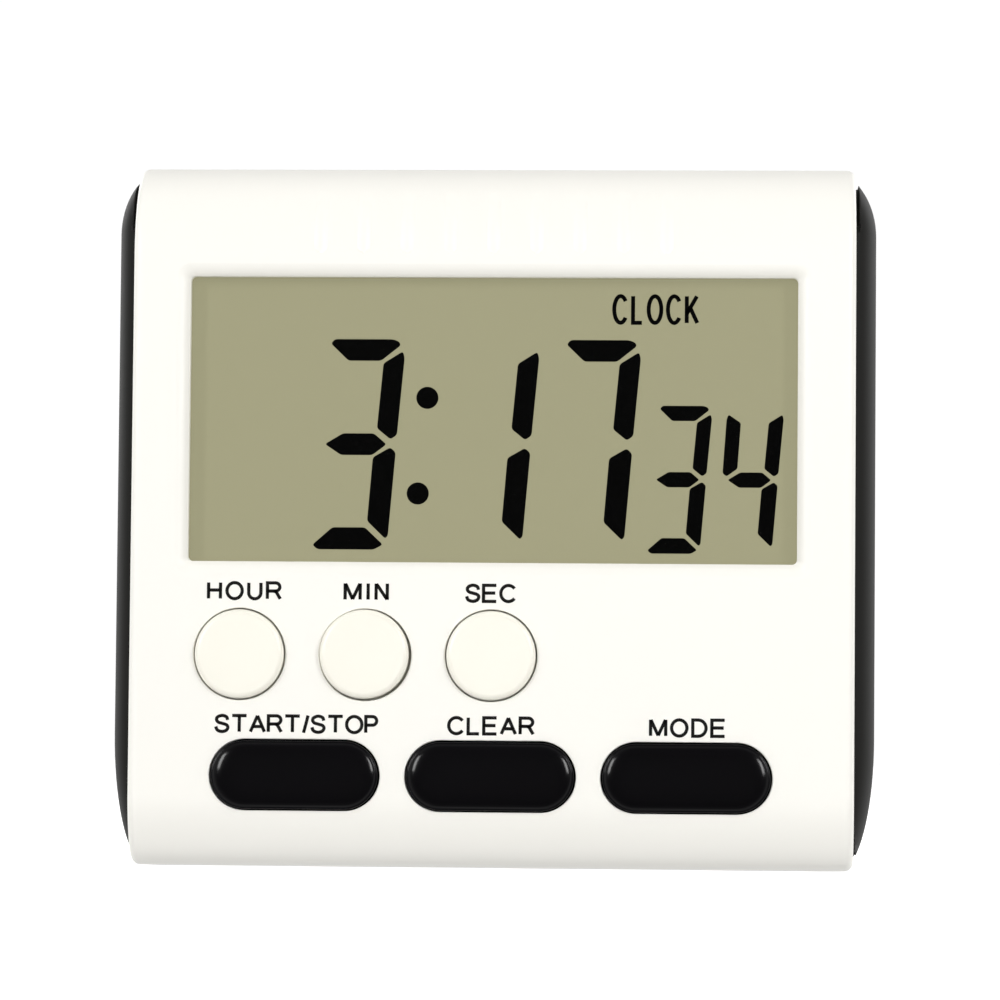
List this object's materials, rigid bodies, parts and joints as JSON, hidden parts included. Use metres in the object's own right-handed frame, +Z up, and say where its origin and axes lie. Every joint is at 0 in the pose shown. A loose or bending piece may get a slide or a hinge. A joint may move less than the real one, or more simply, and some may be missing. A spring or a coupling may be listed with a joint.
{
  "type": "lab timer",
  "caption": "Digital bench timer: white shell bent over a display and press buttons, black rear housing with battery bay, magnets, hanging hole and fold-out stand.",
  "frame": {"origin": "centre of the bounding box at the flat base that the timer stands on, with the stand folded and the buttons out", "axes": "+Z up, +X to the right across the face, +Y from the display towards the magnets, so the face looks along -Y"},
  "size_m": [0.076, 0.0188, 0.07],
  "materials": {
    "white_shell": "fine satin moulded ABS, warm white",
    "clear_window": "clear polished acrylic",
    "display_film": "grey-olive reflective polariser",
    "display_glass": "clear display glass",
    "contact_rubber": "striped conductive silicone",
    "cream_button": "satin cream ABS",
    "black_button": "polished black ABS",
    "keypad_silicone": "soft grey silicone",
    "board_laminate": "green solder mask on glass laminate",
    "black_epoxy": "black epoxy",
    "screw_steel": "zinc plated steel",
    "white_ceramic": "sintered ceramic",
    "black_housing": "charcoal ABS with a fine spark texture",
    "cell_wrap": "printed foil wrap on a steel can",
    "nickel_plate": "bright nickel plate",
    "buzzer_brass": "thin sheet brass",
    "red_lead": "red wire insulation",
    "black_lead": "black wire insulation"
  },
  "bodies": {
    "case": {"front_shell": "white_shell", "display_holder": "white_shell", "display_window": "clear_window", "front_polariser": "display_film", "display_reflector": "display_film", "display_front_glass": "display_glass", "display_rear_glass": "display_glass", "contact_strip": "contact_rubber", "rubber_keypad": "keypad_silicone", "circuit_board": "board_laminate", "chip_blob": "black_epoxy", "resistor": "black_epoxy", "crystal": "screw_steel", "housing_screw_1": "screw_steel", "housing_screw_2": "screw_steel", "housing_screw_3": "screw_steel", "housing_screw_4": "screw_steel", "board_screw_1": "screw_steel", "board_screw_2": "screw_steel", "board_screw_3": "screw_steel", "board_screw_4": "screw_steel", "board_screw_5": "screw_steel", "capacitor": "white_ceramic", "buzzer_ceramic": "white_ceramic", "rear_housing": "black_housing", "battery_cell": "cell_wrap", "positive_contact": "nickel_plate", "negative_contact": "nickel_plate", "negative_spring": "nickel_plate", "magnet_left": "nickel_plate", "magnet_right": "nickel_plate", "buzzer_disc": "buzzer_brass", "battery_lead_positive": "red_lead", "buzzer_lead_live": "red_lead", "battery_lead_negative": "black_lead", "buzzer_lead_return": "black_lead"},
    "hour_button": {"hour_button": "cream_button"},
    "minute_button": {"minute_button": "cream_button"},
    "second_button": {"second_button": "cream_button"},
    "start_stop_button": {"start_stop_button": "black_button"},
    "clear_button": {"clear_button": "black_button"},
    "mode_button": {"mode_button": "black_button"},
    "battery_cover": {"battery_cover": "black_housing"},
    "stand": {"stand": "black_housing"}
  },
  "joints": [
    {"name": "hour_press", "type": "slide", "parent": "case", "child": "hour_button", "axis": [0, 1, 0], "range_m": [0, 0.0009], "stiffness_N_per_m": 1500, "springref_m": -0.0003, "deforming": ["rubber_keypad"]},
    {"name": "minute_press", "type": "slide", "parent": "case", "child": "minute_button", "axis": [0, 1, 0], "range_m": [0, 0.0009], "stiffness_N_per_m": 1500, "springref_m": -0.0003, "deforming": ["rubber_keypad"]},
    {"name": "second_press", "type": "slide", "parent": "case", "child": "second_button", "axis": [0, 1, 0], "range_m": [0, 0.0009], "stiffness_N_per_m": 1500, "springref_m": -0.0003, "deforming": ["rubber_keypad"]},
    {"name": "start_stop_press", "type": "slide", "parent": "case", "child": "start_stop_button", "axis": [0, 1, 0], "range_m": [0, 0.0009], "stiffness_N_per_m": 1500, "springref_m": -0.0003, "deforming": ["rubber_keypad"]},
    {"name": "clear_press", "type": "slide", "parent": "case", "child": "clear_button", "axis": [0, 1, 0], "range_m": [0, 0.0009], "stiffness_N_per_m": 1500, "springref_m": -0.0003, "deforming": ["rubber_keypad"]},
    {"name": "mode_press", "type": "slide", "parent": "case", "child": "mode_button", "axis": [0, 1, 0], "range_m": [0, 0.0009], "stiffness_N_per_m": 1500, "springref_m": -0.0003, "deforming": ["rubber_keypad"]},
    {"name": "battery_cover_lift", "type": "slide", "parent": "case", "child": "battery_cover", "axis": [0, 1, 0], "range_m": [0, 0.02]},
    {"name": "stand_hinge", "type": "hinge", "parent": "case", "child": "stand", "pos_m": [0, 0.0083, 0.0376], "axis": [1, 0, 0], "range_deg": [0, 55]}
  ]
}
